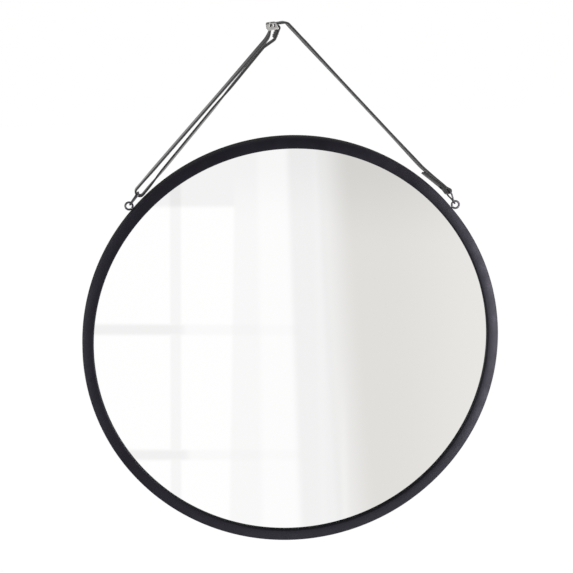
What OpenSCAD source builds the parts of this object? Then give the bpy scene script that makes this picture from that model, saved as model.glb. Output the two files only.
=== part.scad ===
// Round wall mirror in a deep tray frame, hung from a hook by an adjustable leather strap.
// Origin: middle of the strap's underside where it rests on the wall hook.
// +Z is up, -Y faces the room and +Y faces the wall.

/* [Mirror] */
// Outside diameter of the frame ring
mirror_d = 500; // [400:5:600]
// Width of the ring's front face
rim_w = 13.3; // [11:0.1:20]
// Depth from the ring's front face to the glass
recess = 5; // [4:0.5:8]
// Thickness of the mirror glass
glass_t = 3; // [2:0.5:5]
// Radial gap round the glass
glass_gap = 0.4; // [0.2:0.1:1]
// Thickness of the foam tape behind the glass
tape_t = 1; // [0.6:0.1:2]
// Thickness of the card that packs the glass forwards
packing_t = 7; // [6:0.5:10]
// Thickness of the back panel
panel_t = 3; // [2.5:0.1:5]
// Width of the ledge that the back panel is screwed to
ledge_w = 6.7; // [6:0.1:8]
// Radial gap round the back panel
panel_gap = 0.3; // [0.2:0.1:0.6]
// Rounding of the ring's outer front edge
rim_round = 1.2; // [0.4:0.1:2]
// Rounding of the ring's other edges
edge_round = 0.6; // [0.2:0.1:1]

/* [Back fixings] */
// Number of panel screws
screw_count = 8; // [6:1:12]
// Diameter of a screw's shank
screw_d = 2.4; // [2:0.1:3]
// Diameter of a screw's countersunk head
screw_head_d = 4.6; // [4:0.1:5]
// Length of a screw
screw_len = 9; // [7:0.5:12]
// Number of foam tape strips
tape_count = 6; // [3:1:9]
// Width of a foam tape strip
tape_w = 19; // [12:1:30]
// Diameter of a wall bumper
bumper_d = 12; // [8:0.5:16]
// Thickness of a wall bumper
bumper_t = 3.5; // [3.2:0.1:6]
// Distance of the bumpers from the mirror's centre
bumper_reach = 215; // [150:1:220]

/* [Screw eyes] */
// Angle from the mirror's own top to each screw eye
eye_angle = 49.3; // [40:0.1:60]
// How far the mirror hangs turned clockwise
hang_turn = 2.2; // [0:0.1:4]
// Depth of the screw eyes behind the ring's front face
hang_depth = 14.3; // [13.8:0.1:15]
// Outside diameter of an eye
eye_d = 11; // [9:0.1:13]
// Wire diameter of an eye
eye_wire = 2.4; // [2:0.1:2.8]
// Length of an eye's shank inside the ring
shank_len = 11; // [8:0.5:11.5]
// Gap between an eye and the ring's edge
eye_gap = 0.1; // [0.05:0.05:0.4]

/* [Triangle rings] */
// Wire diameter of a triangle ring
ring_wire = 2; // [1.6:0.1:2.4]
// Distance from a ring's bar to its point
ring_h = 17; // [14:0.5:22]
// Angle of the left ring above the horizontal
ring_left_a = 51.9; // [46:0.1:58]
// Angle of the right ring above the horizontal
ring_right_a = 118.8; // [114:0.1:124]
// Room for the strap at each end of a ring's bar
bar_room = 0.4; // [0.2:0.1:1]

/* [Strap] */
// Width of the strap
strap_w = 10; // [8:0.5:11]
// Thickness of the strap
strap_t = 2.3; // [1.8:0.1:2.6]
// Height of the hook seat above the top of the ring
hook_rise = 131; // [110:1:180]
// Radius of the wall hook that the strap bends over
hook_r = 4; // [3:0.1:5]
// Radius of the stiff loop at the left ring, to the strap's middle
loop_r = 4.95; // [4.2:0.05:6]
// Gap between two layers of strap
layer_gap = 0.15; // [0.1:0.05:0.4]
// Length of the folded tail at the right ring
right_tail = 38; // [25:1:50]
// Length of the folded tail at the slide buckle
slide_tail = 12; // [11:0.5:12.5]

/* [Slide buckle] */
// Diameter of the buckle's bars
bar_d = 2.2; // [1.8:0.1:2.4]
// Thickness of the buckle's cheeks
cheek_t = 1.4; // [1:0.1:1.8]
// Height of a cheek
cheek_h = 8.2; // [8:0.1:10]
// Tilt of the buckle
slide_tilt = 6; // [3:0.5:8]
// Distance from the hook seat to the buckle's middle bar
slide_reach = 13.5; // [13.5:0.1:16]

/* [Rivet and stitching] */
// Diameter of the rivet's head and of its cap
rivet_head_d = 5; // [4:0.1:5.4]
// Thickness of the rivet's head
rivet_head_t = 0.9; // [0.6:0.1:1.2]
// Diameter of the rivet's post
rivet_d = 2.2; // [1.8:0.1:2.6]
// Thickness of the sewing thread
thread_d = 0.7; // [0.5:0.05:0.8]
// Distance between two stitches
stitch = 2.2; // [1.8:0.1:2.4]

/* [Hidden] */
$fn = 96;

// Clearances
fit_gap = 0.02;
head_gap = 0.05;
pin_gap = 0.3;
seat_gap = 0.2;
bar_gap = 0.15;
side_gap = 0.4;

// The mirror's radii and depths, with the centre below the hook seat
rim_r = mirror_d / 2;
inner_r = rim_r - rim_w;
ledge_r = inner_r + ledge_w;
glass_r = inner_r - glass_gap;
rim_depth = recess + glass_t + tape_t + packing_t + panel_t;
centre_z = -(rim_r + hook_rise);
screw_r = inner_r + ledge_w / 2;
screw_turn = 180 / screw_count;
pilot_extra = 0.5;
head_h = (screw_head_d - screw_d) / 2;
tip_h = 1.5;
cross_depth = 0.7;
cross_w = 0.6;
cross_l = 2.6;
tape_edge = 14;
bumper_round = 1;

// Screw eyes: a ring of wire whose hole runs front to back, on a shank that points at the centre
eye_tube_r = eye_d / 2 - eye_wire / 2;
eye_hole_r = eye_d / 2 - eye_wire;
eye_reach = rim_r + eye_gap + eye_d / 2;
left_eye_a = 90 - hang_turn + eye_angle;
right_eye_a = 90 - hang_turn - eye_angle;
function from_centre(r, a) = [r * cos(a), centre_z + r * sin(a)];
left_eye = from_centre(eye_reach, left_eye_a);
right_eye = from_centre(eye_reach, right_eye_a);

// Triangle rings: the point of each ring hangs in its eye, and the strap is folded round its bar
function aim(a) = [cos(a), sin(a)];
ring_seat = eye_hole_r - ring_wire / 2 - seat_gap;
left_point = left_eye + ring_seat * aim(ring_left_a);
right_point = right_eye + ring_seat * aim(ring_right_a);
left_bar = left_point + ring_h * aim(ring_left_a);
right_bar = right_point + ring_h * aim(ring_right_a);
point_r = eye_wire / 2 + ring_wire / 2 + 0.8;
corner_r = 1.6;
leg_room = 0.6;
bar_half = strap_w / 2 + bar_room + ring_wire / 2 + leg_room;

// Slide buckle: bars across the strap, in the buckle's own frame, turned by its tilt
wrap_r = bar_d / 2 + bar_gap + strap_t / 2;
hook_wrap_r = hook_r + strap_t / 2;
fold_bar_s = bar_d / 2 + strap_t + 2 * bar_gap + bar_d / 2 + 0.6;
fold_bar_n = -(strap_t + layer_gap);
left_bar_s = -(bar_d / 2 + strap_t + 2 * bar_gap + bar_d / 2 + 0.45);
left_bar_n = -1.2;
cheek_left = left_bar_s - bar_d / 2 - 0.4;
cheek_right = fold_bar_s + 0.2;
cheek_top = cheek_h / 2;
cheek_round = 1.8;
brow_r = 3;
lobe_r = bar_d / 2 + 0.25;
window_w = 2;
window_h = 3.4;
windows = [[-2.1, 1.9, -25], [2.1, 1.1, -5]];
mid_bar = -hook_r * [0, 1] + slide_reach * [-cos(slide_tilt), -sin(slide_tilt)]
    + (hook_wrap_r - wrap_r) * [-sin(slide_tilt), cos(slide_tilt)];
function in_slide(s, n) = mid_bar + [s * cos(slide_tilt) - n * sin(slide_tilt),
    s * sin(slide_tilt) + n * cos(slide_tilt)];
fold_bar = in_slide(fold_bar_s, fold_bar_n);
left_slide_bar = in_slide(left_bar_s, left_bar_n);

// Right end of the strap: the line from the ring's bar up along the folded end
right_run_a = 137.5;
rivet_reach = 9;
rivet_clear = rivet_head_d / 2 + 0.2;
rivet_bend_r = 10;
flare_r = 30;
knee_r = 80;
tail_flare = 1.4;
half_layer = (strap_t + layer_gap) / 2;
function right_line(d, off) = right_bar + d * aim(right_run_a) + off * aim(right_run_a - 90);
right_rivet = right_line(rivet_reach, 0);

// Fold at the slide buckle: its tail is sewn to the strand that comes up from the left ring
branch_a = 66.6;
seam_rows = [6.5, 9.5];
seam_stitches = 3;
sewn_bend = 5.5;
sewn_bend_r = 4.5;
bow_reach = 12;
function branch_line(d, off) = fold_bar - d * aim(branch_a) + off * aim(branch_a - 90);

// Route of the strap: rounds that it bends over, as [x, z, radius to its middle, turn],
// where turn is 1 for a bend to the left of travel and -1 for a bend to the right
left_loop = left_bar + (loop_r - strap_t / 2 - pin_gap - ring_wire / 2) * aim(48);
fold_wrap_r = ring_wire / 2 + pin_gap + strap_t / 2;
outer_knee_r = 24.5;
inner_knee_r = 12.5;
bow_r = 6;
outer_knee = mid_bar + [-wrap_r - outer_knee_r - 0.2, -0.5];
inner_knee = mid_bar + [-2.6, -33.6];
function round_at(p, r, turn) = [p[0], p[1], r, turn];
route = [
    round_at(right_line(right_tail, -half_layer - tail_flare), 0, 1),
    round_at(right_line(rivet_reach + rivet_clear, -half_layer - flare_r), flare_r, -1),
    round_at(right_line(rivet_reach - rivet_clear, -half_layer - rivet_bend_r), rivet_bend_r, -1),
    round_at(right_bar, fold_wrap_r, 1),
    round_at(right_line(rivet_reach - rivet_clear, half_layer + rivet_bend_r), rivet_bend_r, -1),
    round_at(right_line(right_tail + 2, half_layer + knee_r), knee_r, -1),
    round_at([0, -hook_r], hook_wrap_r, 1),
    round_at(mid_bar, wrap_r, 1),
    round_at(outer_knee, outer_knee_r, -1),
    round_at(left_loop, loop_r, 1),
    round_at(inner_knee, inner_knee_r, -1),
    round_at(branch_line(bow_reach, wrap_r - bow_r), bow_r, 1),
    round_at(fold_bar, wrap_r, 1),
    round_at(branch_line(sewn_bend, wrap_r - 2 * half_layer - sewn_bend_r), sewn_bend_r, -1),
    round_at(branch_line(slide_tail, wrap_r - 2 * half_layer), 0, 1)
];

// Belt geometry: the heading of the straight run from one round to the next, and the points
// of the strap's middle line at a heading on a round
function heading(a, b) =
    let (dx = b[0] - a[0], dz = b[1] - a[1], e = b[3] * b[2] - a[3] * a[2])
    atan2(dz, dx) - atan2(e, sqrt(dx * dx + dz * dz - e * e));
function on_round(c, h, side) =
    let (r = c[3] * c[2] - side)
    [c[0] + r * sin(h), c[1] - r * cos(h)];
function sweep(h0, h1, turn) =
    turn > 0 ? (h1 - h0 + 720) % 360 : -((h0 - h1 + 720) % 360);
step_a = 7.5;
function bend(rounds, i, side) =
    let (
        h0 = i == 0 ? heading(rounds[0], rounds[1]) : heading(rounds[i - 1], rounds[i]),
        h1 = i == len(rounds) - 1 ? h0 : heading(rounds[i], rounds[i + 1]),
        turned = rounds[i][2] == 0 ? 0 : sweep(h0, h1, rounds[i][3]),
        n = max(1, ceil(abs(turned) / step_a))
    )
    rounds[i][2] == 0 ? [on_round(rounds[i], h0, side)]
        : [for (k = [0:n]) on_round(rounds[i], h0 + turned * k / n, side)];
function edge_line(rounds, side) = [for (i = [0:len(rounds) - 1]) each bend(rounds, i, side)];
function turned_round(list) = [for (i = [len(list) - 1:-1:0]) list[i]];

// A quarter bend of an outline, from angle a0 to a1
function arc(c, r, a0, a1, n = 6) = [for (k = [0:n]) c + r * aim(a0 + (a1 - a0) * k / n)];

// Turns a shape drawn with its axis along Z so that the axis points at the wall
module toward_wall() {
    rotate([-90, 0, 0]) children();
}

// Places a shape of revolution at the mirror's centre, with z = 0 at the ring's front face
module at_centre() {
    translate([0, -hang_depth, centre_z]) toward_wall() children();
}

// Copies round the mirror's own centre; child shapes stand on the back, pointing forwards
module round_the_back(count, start, r, depth) {
    for (k = [0:count - 1]) {
        a = start + k * 360 / count - hang_turn;
        translate([r * cos(a), depth - hang_depth, centre_z + r * sin(a)])
            rotate([90, 0, 0]) children();
    }
}

module frame_ring() {
    color([0.13, 0.12, 0.15]) difference() {
        at_centre() rotate_extrude() polygon(concat(
            arc([inner_r + edge_round, edge_round], edge_round, 180, 270),
            arc([rim_r - rim_round, rim_round], rim_round, -90, 0),
            arc([rim_r - edge_round, rim_depth - edge_round], edge_round, 0, 90),
            [[ledge_r, rim_depth], [ledge_r, rim_depth - panel_t], [inner_r, rim_depth - panel_t]]
        ));
        round_the_back(screw_count, screw_turn, screw_r, rim_depth)
            cylinder(h = screw_len + pilot_extra, d = screw_d + 2 * fit_gap);
        for (a = [left_eye_a, right_eye_a]) shank(a, eye_wire + 2 * fit_gap, pilot_extra);
    }
}

module mirror_glass() {
    color([0.86, 0.87, 0.86]) at_centre() translate([0, 0, recess])
        rotate_extrude() polygon([
            [0, 0], [glass_r - edge_round, 0], [glass_r, edge_round],
            [glass_r, glass_t - edge_round], [glass_r - edge_round, glass_t], [0, glass_t]
        ]);
}

module foam_tape() {
    reach = glass_r - tape_edge;
    pitch = 2 * reach / (tape_count + 1);
    y_front = recess + glass_t - hang_depth;
    color([0.75, 0.75, 0.72]) translate([0, y_front, centre_z]) for (k = [1:tape_count]) {
        x = -reach + k * pitch;
        half = sqrt(reach * reach - pow(abs(x) + tape_w / 2, 2));
        translate([x - tape_w / 2, 0, -half]) cube([tape_w, tape_t, 2 * half]);
    }
}

module packing_card() {
    color([0.66, 0.53, 0.37]) at_centre() translate([0, 0, recess + glass_t + tape_t])
        cylinder(h = packing_t, r = glass_r);
}

module back_panel() {
    color([0.42, 0.31, 0.22]) difference() {
        at_centre() translate([0, 0, rim_depth - panel_t])
            cylinder(h = panel_t, r = ledge_r - panel_gap);
        round_the_back(screw_count, screw_turn, screw_r, rim_depth) {
            cylinder(h = 3 * panel_t, d = screw_d + 4 * fit_gap, center = true);
            cylinder(h = head_h + head_gap, d1 = screw_head_d + 2 * head_gap, d2 = screw_d);
        }
    }
}

module panel_screw() {
    difference() {
        rotate_extrude() polygon([
            [0, 0], [screw_head_d / 2, 0], [screw_d / 2, head_h],
            [screw_d / 2, screw_len - tip_h], [0, screw_len]
        ]);
        for (a = [0, 90]) rotate([0, 0, a]) translate([-cross_l / 2, -cross_w / 2, -1])
            cube([cross_l, cross_w, 1 + cross_depth]);
    }
}

module panel_screws() {
    color([0.72, 0.7, 0.62]) round_the_back(screw_count, screw_turn, screw_r, rim_depth)
        panel_screw();
}

module wall_bumpers() {
    color([0.1, 0.1, 0.1]) round_the_back(4, 45, bumper_reach, rim_depth) mirror([0, 0, 1])
        rotate_extrude() polygon(concat(
            [[0, 0], [bumper_d / 2, 0]],
            arc([bumper_d / 2 - bumper_round, bumper_t - bumper_round], bumper_round, 0, 90),
            [[0, bumper_t]]
        ));
}

// A screw eye's shank, from the middle of its ring's wire into the frame
module shank(a, d, extra = 0) {
    outer = rim_r + eye_gap + eye_wire / 2;
    inner = rim_r - shank_len - extra;
    translate([0, 0, centre_z]) rotate([0, 90 - a, 0]) translate([0, 0, inner])
        cylinder(h = outer - inner, d = d);
}

module screw_eye(at, a) {
    translate([at[0], 0, at[1]]) toward_wall()
        rotate_extrude() translate([eye_tube_r, 0]) circle(d = eye_wire);
    shank(a, eye_wire);
}

module left_screw_eye() {
    color([0.2, 0.19, 0.2]) screw_eye(left_eye, left_eye_a);
}

module right_screw_eye() {
    color([0.2, 0.19, 0.2]) screw_eye(right_eye, right_eye_a);
}

// The straights of a wire loop are a hair thinner than its bends and run a little into them
lap = 0.1;
lap_step = 0.02;

// A bend in round wire: the part of a torus inside a wedge
module wire_bend(r, turned) {
    far = 3 * (r + ring_wire);
    intersection() {
        rotate_extrude() translate([r, 0]) circle(d = ring_wire);
        linear_extrude(height = 2 * ring_wire, center = true)
            polygon([[0, 0], far * aim(0), far * aim(turned / 2), far * aim(turned)]);
    }
}

// A closed loop of round wire over three rounds: the ring's point and the two ends of its bar
module triangle_ring(at, a) {
    side = bar_half - corner_r;
    base = ring_h - corner_r;
    rounds = [[point_r, 0, point_r, 1], [base, -side, corner_r, 1], [base, side, corner_r, 1]];
    order = [rounds[0], rounds[1], rounds[2], rounds[0], rounds[1]];
    translate([at[0], 0, at[1]]) rotate([0, -a, 0]) for (i = [1:3]) {
        h0 = heading(order[i - 1], order[i]);
        h1 = heading(order[i], order[i + 1]);
        start = on_round(order[i], h1, 0);
        run = on_round(order[i + 1], h1, 0) - start;
        translate([order[i][0], order[i][1], 0]) rotate([0, 0, h0 - 90])
            wire_bend(order[i][2], sweep(h0, h1, 1));
        translate([start[0], start[1], 0]) rotate([0, 0, h1]) rotate([0, 90, 0])
            translate([0, 0, -lap]) cylinder(h = norm(run) + 2 * lap, d = ring_wire - lap_step);
    }
}

module left_triangle_ring() {
    color([0.24, 0.23, 0.24]) triangle_ring(left_point, ring_left_a);
}

module right_triangle_ring() {
    color([0.24, 0.23, 0.24]) triangle_ring(right_point, ring_right_a);
}

module strap() {
    color([0.11, 0.1, 0.11]) difference() {
        rotate([90, 0, 0]) linear_extrude(height = strap_w, center = true) polygon(concat(
            edge_line(route, strap_t / 2),
            turned_round(edge_line(route, -strap_t / 2))
        ));
        at_rivet() cylinder(h = 4 * strap_t, d = rivet_d + 2 * head_gap, center = true);
        at_seams() for (k = [0:seam_stitches]) translate([0, (k - seam_stitches / 2) * stitch, 0])
            cylinder(h = 4 * strap_t, d = thread_d + 2 * fit_gap, center = true);
    }
}

// Turns a shape so that its Z axis runs through the strap's layers
module across_strap(at, a) {
    translate([at[0], 0, at[1]]) rotate([0, 90 - a, 0]) children();
}

module at_rivet() {
    across_strap(right_rivet, right_run_a - 90) children();
}

module at_seams() {
    for (d = seam_rows) across_strap(branch_line(d, wrap_r - half_layer), branch_a - 90) children();
}

// Half the thickness of two layers of strap, with the gap between them
pack_t = strap_t + layer_gap / 2 + fit_gap;
socket_h = 0.5;

module rivet_post() {
    color([0.2, 0.2, 0.21]) at_rivet() {
        translate([0, 0, pack_t]) cylinder(h = rivet_head_t, d = rivet_head_d);
        translate([0, 0, -pack_t - socket_h + fit_gap])
            cylinder(h = 2 * pack_t + socket_h, d = rivet_d);
    }
}

module rivet_cap() {
    bore = rivet_d / 2 + fit_gap;
    color([0.2, 0.2, 0.21]) at_rivet() translate([0, 0, -pack_t]) rotate([180, 0, 0])
        rotate_extrude() polygon(concat(
            [[bore, socket_h], [bore, 0], [rivet_head_d / 2, 0]],
            [for (a = [0:15:90]) [rivet_head_d / 2 * cos(a), 0.4 + rivet_head_t * sin(a)]],
            [[0, socket_h]]
        ));
}

// Each row is one thread: stitches on both faces, joined by the thread in every hole
module fold_stitching() {
    face = pack_t + thread_d / 2;
    row = seam_stitches * stitch;
    color([0.09, 0.09, 0.1]) at_seams() {
        for (k = [0:seam_stitches]) translate([0, k * stitch - row / 2, 0])
            cylinder(h = 2 * face, d = thread_d, center = true);
        for (z = [-face, face]) {
            translate([0, 0, z]) rotate([90, 0, 0]) cylinder(h = row, d = thread_d, center = true);
            for (y = [-row / 2, row / 2]) translate([0, y, z]) sphere(d = thread_d);
        }
    }
}

// One cheek of the buckle: a rounded plate with two windows between its bars
module cheek_outline() {
    left = cheek_left + cheek_round;
    polygon(concat(
        arc([fold_bar_s, fold_bar_n], lobe_r, 270, 360),
        arc([cheek_right - brow_r, cheek_top - brow_r], brow_r, 0, 90),
        arc([left, cheek_top - cheek_round], cheek_round, 90, 180),
        arc([left, cheek_top - cheek_h + cheek_round], cheek_round, 180, 270)
    ));
}

module window() {
    straight = window_h - window_w;
    square([window_w, straight], center = true);
    for (s = [-1, 1]) translate([0, s * straight / 2]) circle(d = window_w);
}

module slide_buckle() {
    inside = strap_w / 2 + side_gap;
    color([0.72, 0.71, 0.69]) translate([mid_bar[0], 0, mid_bar[1]]) rotate([0, -slide_tilt, 0])
        rotate([90, 0, 0]) {
            for (side = [-1, 1]) translate([0, 0, side * (inside + cheek_t / 2)])
                linear_extrude(height = cheek_t, center = true) difference() {
                    cheek_outline();
                    for (w = windows) translate([w[0], w[1]]) rotate(w[2]) window();
                }
            for (p = [[0, 0], [fold_bar_s, fold_bar_n], [left_bar_s, left_bar_n]])
                translate([p[0], p[1], 0])
                    cylinder(h = 2 * inside + cheek_t, d = bar_d, center = true);
        }
}

frame_ring();
mirror_glass();
foam_tape();
packing_card();
back_panel();
panel_screws();
wall_bumpers();
left_screw_eye();
right_screw_eye();
left_triangle_ring();
right_triangle_ring();
strap();
slide_buckle();
rivet_post();
rivet_cap();
fold_stitching();
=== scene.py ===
"""Looks of a round wall mirror that hangs from a leather strap, piece by piece."""

import bmesh
import bpy
import numpy as np
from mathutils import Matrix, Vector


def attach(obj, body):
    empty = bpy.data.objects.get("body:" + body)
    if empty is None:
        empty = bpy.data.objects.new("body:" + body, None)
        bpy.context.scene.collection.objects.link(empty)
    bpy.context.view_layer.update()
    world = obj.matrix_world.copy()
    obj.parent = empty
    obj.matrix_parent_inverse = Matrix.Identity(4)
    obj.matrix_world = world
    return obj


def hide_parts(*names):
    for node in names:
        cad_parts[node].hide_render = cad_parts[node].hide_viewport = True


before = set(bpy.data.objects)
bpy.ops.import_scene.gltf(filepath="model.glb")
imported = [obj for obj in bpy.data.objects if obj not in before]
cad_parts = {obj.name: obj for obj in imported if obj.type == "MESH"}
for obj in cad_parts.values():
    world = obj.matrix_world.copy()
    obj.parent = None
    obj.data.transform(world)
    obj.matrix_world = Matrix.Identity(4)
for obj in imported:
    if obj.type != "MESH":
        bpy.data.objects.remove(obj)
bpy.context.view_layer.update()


# Frame ring. Turned from one board of wood fibre and sprayed with near-black lacquer, violet in
# the light. The lathe leaves a face that falls away towards the outside, soft corners and a rebate
# at the back for the panel.
MM = 0.001
RIM_R = 249.9
INNER_R = 236.7
REBATE_R = 243.4
RIM_DEPTH = 19.0
PANEL_T = 3.0
FACE_W = 11.6
FACE_FALL = 1.1
BORE_ROUND = 1.3
EDGE_ROUND = 0.35
BACK_ROUND = 0.8
REBATE_ROUND = 0.3
HANG_DEPTH = 14.3
CENTRE = np.array([0.0, -HANG_DEPTH, -381.0])


def corner(centre, radius, start, end, steps=8):
    """Points of a quarter round: the centre plus the radius at evenly spaced angles in degrees."""
    a = np.radians(np.linspace(start, end, steps + 1))
    return np.stack([centre[0] + radius * np.cos(a), centre[1] + radius * np.sin(a)], -1)


def skin(name, points, wrap_rows=True, wrap_cols=True):
    """A mesh over a grid of points in millimetres: each cell is a face, and a wrapped side joins
    its last line to its first."""
    rows, cols = points.shape[:2]
    r = np.arange(rows if wrap_rows else rows - 1)[:, None]
    c = np.arange(cols if wrap_cols else cols - 1)[None, :]
    r1, c1 = (r + 1) % rows, (c + 1) % cols
    quads = np.stack([r * cols + c, r1 * cols + c, r1 * cols + c1, r * cols + c1], -1)
    quads = quads.reshape(-1, 4)
    mesh = bpy.data.meshes.new(name)
    mesh.vertices.add(rows * cols)
    mesh.vertices.foreach_set("co", (points * MM).astype(np.float32).ravel())
    mesh.loops.add(quads.size)
    mesh.loops.foreach_set("vertex_index", quads.astype(np.int32).ravel())
    mesh.polygons.add(len(quads))
    mesh.polygons.foreach_set("loop_start", np.arange(0, quads.size, 4, dtype=np.int32))
    mesh.update(calc_edges=True)
    return mesh


def outward(mesh, sharp_deg=35):
    """Merges points that share a place, turns the faces outwards, and shades smooth up to an edge
    angle."""
    work = bmesh.new()
    work.from_mesh(mesh)
    bmesh.ops.remove_doubles(work, verts=work.verts, dist=2e-6)
    bmesh.ops.recalc_face_normals(work, faces=work.faces)
    work.to_mesh(mesh)
    work.free()
    mesh.polygons.foreach_set("use_smooth", np.ones(len(mesh.polygons), bool))
    mesh.set_sharp_from_angle(angle=np.radians(sharp_deg))
    return mesh


def join(name, meshes):
    """One mesh out of several, in the order given."""
    work = bmesh.new()
    for mesh in meshes:
        work.from_mesh(mesh)
    whole = bpy.data.meshes.new(name)
    work.to_mesh(whole)
    work.free()
    return whole


def piece(name, mesh, finishes):
    """A new object at the origin that wears the given finishes."""
    obj = bpy.data.objects.new(name, mesh)
    bpy.context.scene.collection.objects.link(obj)
    for finish in finishes:
        mesh.materials.append(finish)
    return obj


def lathe(name, outline, centre, steps):
    """A turned shape: each point (radius, depth) of the outline goes round the line through the
    centre that points at the wall, at radius times the cosine and sine of the turn."""
    a = np.linspace(0, 2 * np.pi, steps, endpoint=False)[:, None]
    x = centre[0] + outline[None, :, 0] * np.cos(a)
    y = centre[1] + outline[None, :, 1] + 0 * a
    z = centre[2] + outline[None, :, 0] * np.sin(a)
    return outward(skin(name, np.stack([x, y, z], -1)))


def new_finish(name, colour, roughness, metallic=0.0, **sockets):
    """A Principled material with its constants on its own sockets."""
    material = bpy.data.materials.new(name)
    material.use_nodes = True
    shader = material.node_tree.nodes["Principled BSDF"]
    shader.inputs["Base Color"].default_value = (*colour, 1)
    shader.inputs["Roughness"].default_value = roughness
    shader.inputs["Metallic"].default_value = metallic
    for socket, value in sockets.items():
        shader.inputs[socket.replace("_", " ")].default_value = value
    return material, material.node_tree, shader


def add_node(tree, kind, inputs=(), **settings):
    """A node with its settings, whose inputs take a constant or another node's output."""
    made = tree.nodes.new(kind)
    for key, value in settings.items():
        setattr(made, key, value)
    for key, value in dict(inputs).items():
        if isinstance(value, bpy.types.NodeSocket):
            tree.links.new(value, made.inputs[key])
        else:
            made.inputs[key].default_value = value
    return made


def place(tree, stretch=(1, 1, 1), shift=(0, 0, 0)):
    """The point on the piece in metres, moved and stretched for a pattern."""
    where = add_node(tree, "ShaderNodeTexCoord")
    return add_node(tree, "ShaderNodeMapping", {
        "Vector": where.outputs["Object"], "Location": shift, "Scale": stretch}).outputs[0]


def noise(tree, where, scale, detail=4.0, rough=0.5):
    """Cloudy noise; scale is in cycles a metre."""
    return add_node(tree, "ShaderNodeTexNoise", {
        "Vector": where, "Scale": scale, "Detail": detail, "Roughness": rough}).outputs["Fac"]


def spread(tree, value, low, high, to_low, to_high):
    """Maps a value's range onto another and holds it there."""
    return add_node(tree, "ShaderNodeMapRange", {
        "Value": value, "From Min": low, "From Max": high, "To Min": to_low,
        "To Max": to_high}).outputs[0]


def blend_colours(tree, amount, first, second):
    """Goes from the first colour to the second with the amount."""
    mix = add_node(tree, "ShaderNodeMix", data_type="RGBA")
    tree.links.new(amount, mix.inputs["Factor"])
    for socket, colour in (("A", first), ("B", second)):
        target = [i for i in mix.inputs if i.name == socket and i.type == "RGBA"][0]
        if isinstance(colour, bpy.types.NodeSocket):
            tree.links.new(colour, target)
        else:
            target.default_value = (*colour, 1)
    return [o for o in mix.outputs if o.type == "RGBA"][0]


def add_bump(tree, shader, height, strength, distance):
    """Small relief from a height, on top of any bump that is there."""
    made = add_node(tree, "ShaderNodeBump", {
        "Height": height, "Strength": strength, "Distance": distance})
    if shader.inputs["Normal"].links:
        tree.links.new(shader.inputs["Normal"].links[0].from_socket, made.inputs["Normal"])
    tree.links.new(made.outputs[0], shader.inputs["Normal"])


# The outline in radius and depth, from the bore over the face and the rim to the rebate. The face
# falls by its share of the way across to the power of 1.7, so that it is flat beside the glass.
across_face = np.linspace(0, 1, 25)[1:]
face = np.stack([
    INNER_R + BORE_ROUND + FACE_W * across_face,
    FACE_FALL * across_face ** 1.7], -1)
ring_outline = np.concatenate([
    corner((INNER_R + BORE_ROUND, BORE_ROUND), BORE_ROUND, 180, 270, 8),
    face,
    corner((RIM_R - EDGE_ROUND, FACE_FALL + EDGE_ROUND), EDGE_ROUND, -80, 0, 6),
    [[RIM_R, 6.0], [RIM_R, 12.0]],
    corner((RIM_R - BACK_ROUND, RIM_DEPTH - BACK_ROUND), BACK_ROUND, 0, 90, 5),
    corner((REBATE_R + REBATE_ROUND, RIM_DEPTH - REBATE_ROUND), REBATE_ROUND, 90, 180, 3),
    [[REBATE_R, RIM_DEPTH - PANEL_T], [INNER_R, RIM_DEPTH - PANEL_T], [INNER_R, 9.0]],
])

lacquer, tree, shader = new_finish(
    "near_black_lacquer", (0.003, 0.0028, 0.0045), 0.3, Specular_IOR_Level=0.17,
    Specular_Tint=(0.86, 0.82, 1.0, 1.0))
where = place(tree)
patchy = spread(tree, noise(tree, where, 14, 3), 0.35, 0.65, 0, 1)
tinted = blend_colours(tree, patchy, (0.0022, 0.002, 0.0034), (0.0042, 0.0039, 0.0062))
from_centre = add_node(tree, "ShaderNodeVectorMath", {
    0: place(tree, (1, 0, 1), (0, 0, -CENTRE[2] * MM))}, operation="LENGTH").outputs["Value"]
# Painted highlight: the face's colour turns lighter over its last 1.7 mm towards the rim, for the
# light that the rounded outer edge catches.
rim_highlight = spread(tree, from_centre, (RIM_R - 1.7) * MM, (RIM_R + 0.1) * MM, 0, 0.35)
tree.links.new(
    blend_colours(tree, rim_highlight, tinted, (0.024, 0.022, 0.03)), shader.inputs["Base Color"])
tree.links.new(spread(tree, noise(tree, where, 60, 5), 0.3, 0.7, 0.25, 0.37),
               shader.inputs["Roughness"])
add_bump(tree, shader, noise(tree, where, 520, 2), 0.05, 0.0003)
add_bump(tree, shader, noise(tree, where, 38, 3), 0.1, 0.002)

# The walls of the bore and of the rim are sprayed with the same lacquer but aren't rubbed out, so
# they stay matt. Each face of the ring wears the one that its distance from the axis calls for.
wall_lacquer, tree, shader = new_finish(
    "matt_lacquer_on_walls", (0.011, 0.0105, 0.0135), 0.45, Specular_IOR_Level=0.01)
add_bump(tree, shader, noise(tree, place(tree), 520, 2), 0.05, 0.0003)

mesh = lathe("turned_ring", ring_outline, CENTRE, 720)
ring = piece("turned_ring", mesh, [lacquer, wall_lacquer])
middle = np.empty(len(mesh.polygons) * 3, np.float32)
mesh.polygons.foreach_get("center", middle)
middle = middle.reshape(-1, 3) / MM
reach = np.hypot(middle[:, 0], middle[:, 2] - CENTRE[2])
on_wall = (reach < INNER_R + BORE_ROUND - 0.4) | (reach > RIM_R - 0.1)
mesh.polygons.foreach_set("material_index", on_wall.astype(np.int32))
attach(ring, "mirror")
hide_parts("frame_ring")


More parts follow.
